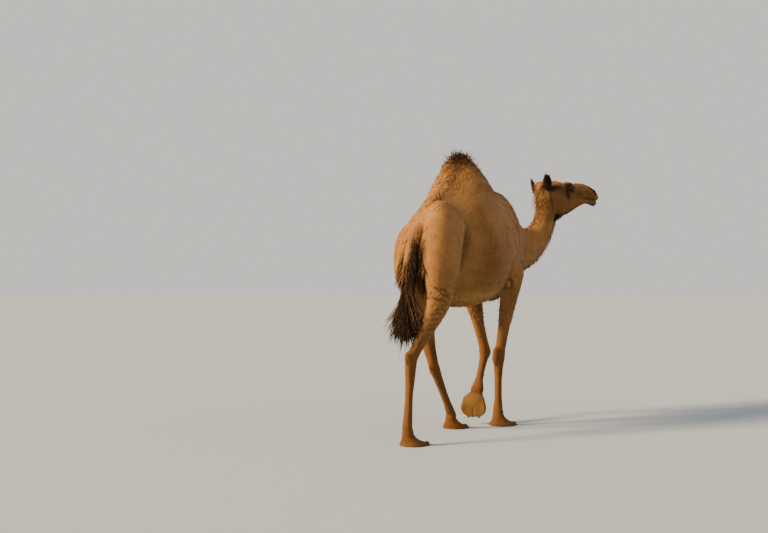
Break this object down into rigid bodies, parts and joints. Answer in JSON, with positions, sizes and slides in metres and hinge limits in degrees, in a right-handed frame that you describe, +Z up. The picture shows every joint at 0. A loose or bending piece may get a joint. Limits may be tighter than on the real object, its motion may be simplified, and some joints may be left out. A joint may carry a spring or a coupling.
{
  "type": "dromedary camel, still life-size animal model",
  "caption": "Life-size one-humped camel walking, head turned to its right, one forefoot lifted, standing on three broad feet.",
  "frame": {"origin": "on the floor, under the middle of the model's box", "axes": "+X the way the animal walks, +Y to its left, +Z up"},
  "size_m": [2.7598, 0.8088, 2.1852],
  "materials": {
    "coat": "short flat hair over skin, warm brown, darker on the lower flank, face and feet",
    "long_hair": "long coarse dark brown hair in locks",
    "eye": "wet gloss, very dark brown",
    "nail": "dull worn horn"
  },
  "bodies": {
    "root": {"trunk": "coat", "neck": "coat", "head": "coat", "ear_left": "coat", "ear_right": "coat", "eye_left": "eye", "eye_right": "eye", "tail": "coat", "tail_brush": "long_hair", "leg_hind_right_upper": "coat", "leg_hind_right_lower": "coat", "foot_hind_right": "coat", "nail_hind_right_1": "nail", "nail_hind_right_2": "nail", "leg_hind_left_upper": "coat", "leg_hind_left_lower": "coat", "foot_hind_left": "coat", "nail_hind_left_1": "nail", "nail_hind_left_2": "nail", "leg_fore_right_upper": "coat", "leg_fore_right_lower": "coat", "foot_fore_right": "coat", "nail_fore_right_1": "nail", "nail_fore_right_2": "nail", "leg_fore_left_upper": "coat", "leg_fore_left_lower": "coat", "foot_fore_left": "coat", "nail_fore_left_1": "nail", "nail_fore_left_2": "nail"}
  },
  "joints": []
}
